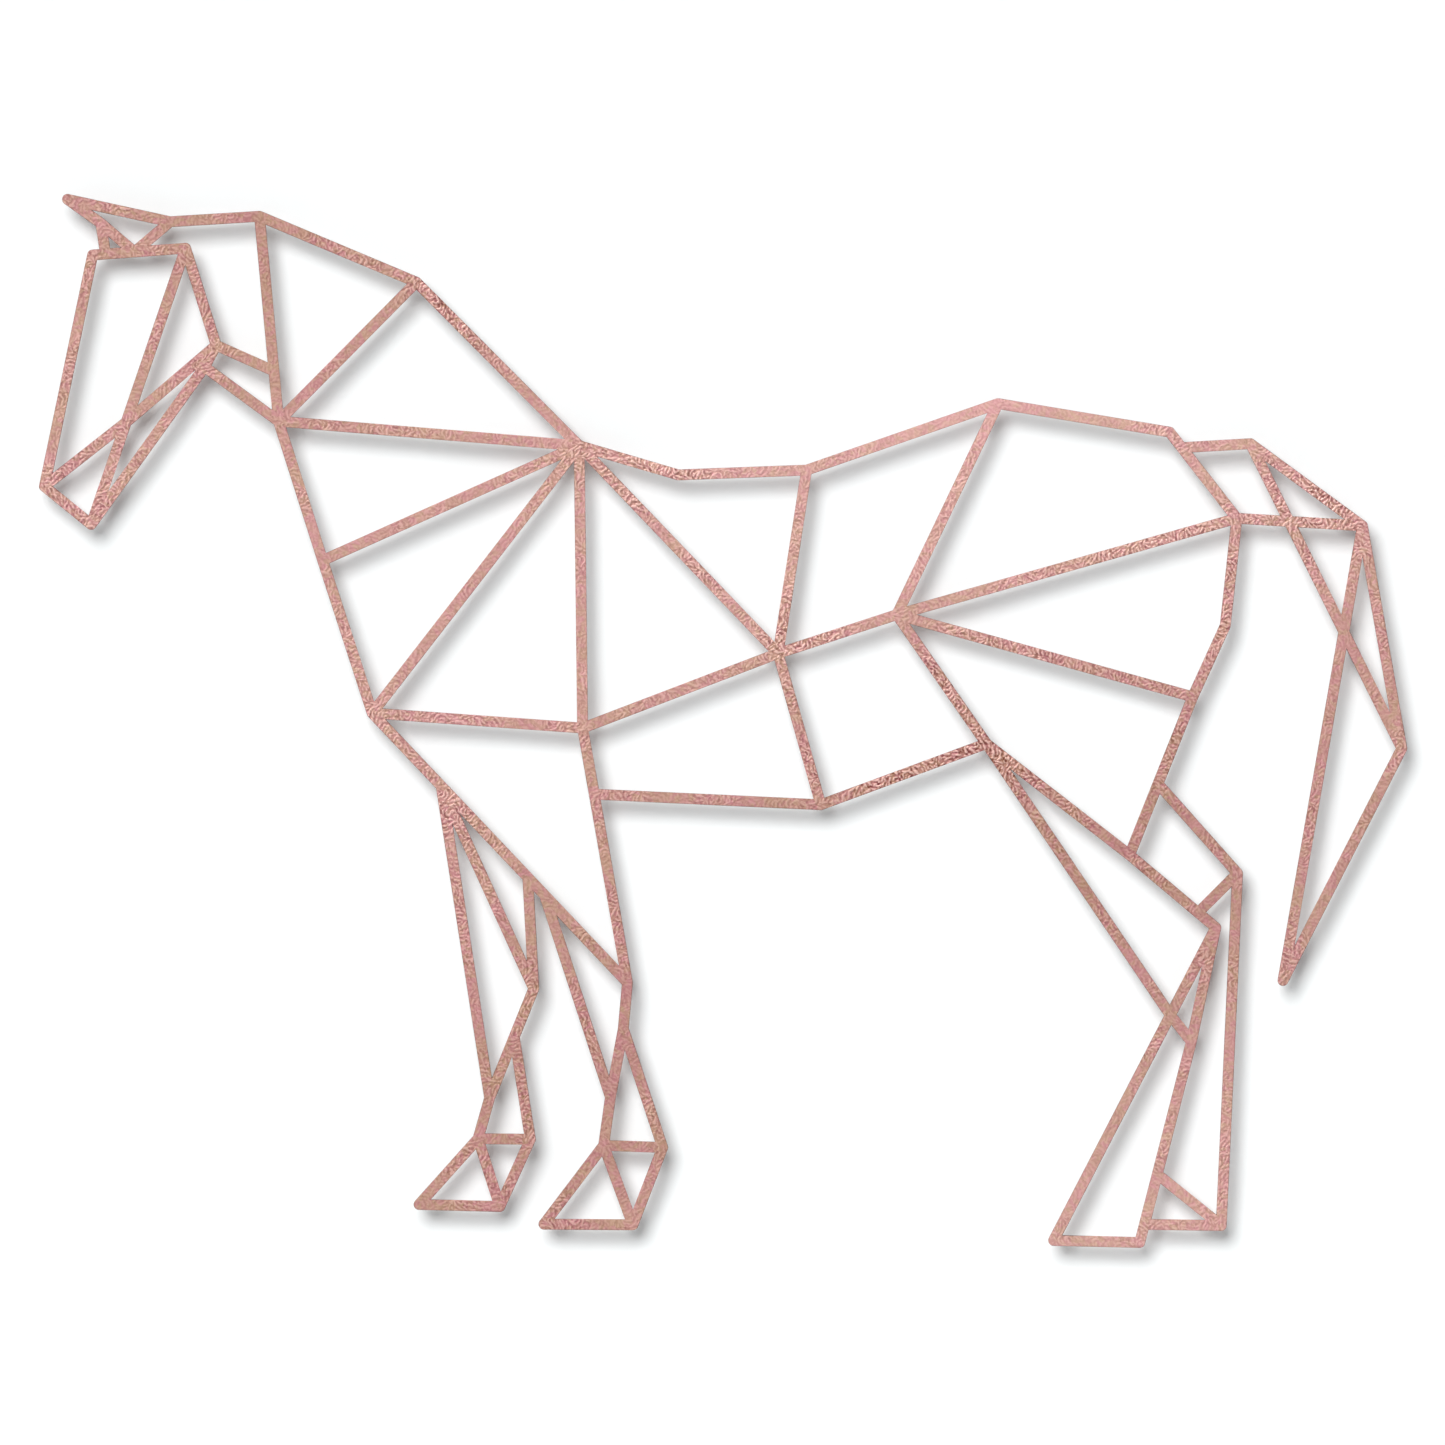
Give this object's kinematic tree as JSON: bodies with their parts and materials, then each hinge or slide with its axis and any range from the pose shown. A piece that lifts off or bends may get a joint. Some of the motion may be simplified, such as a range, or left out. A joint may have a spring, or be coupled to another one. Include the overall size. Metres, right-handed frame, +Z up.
{
  "type": "geometric horse wall sculpture",
  "caption": "Flat openwork horse in profile, drawn in straight bars of one width and cut from a single metal sheet, hung by its back against a wall.",
  "frame": {"origin": "on the back of the sheet, behind the withers, where eight bars meet and the horse hangs", "axes": "+X from the nose to the tail, +Y out of the back towards the wall, +Z up; the front faces -Y"},
  "size_m": [0.7, 0.002, 0.5392],
  "materials": {
    "rose_gold_coat": "textured satin powder coat in rose gold"
  },
  "bodies": {
    "root": {"horse_sheet": "rose_gold_coat"}
  },
  "joints": []
}
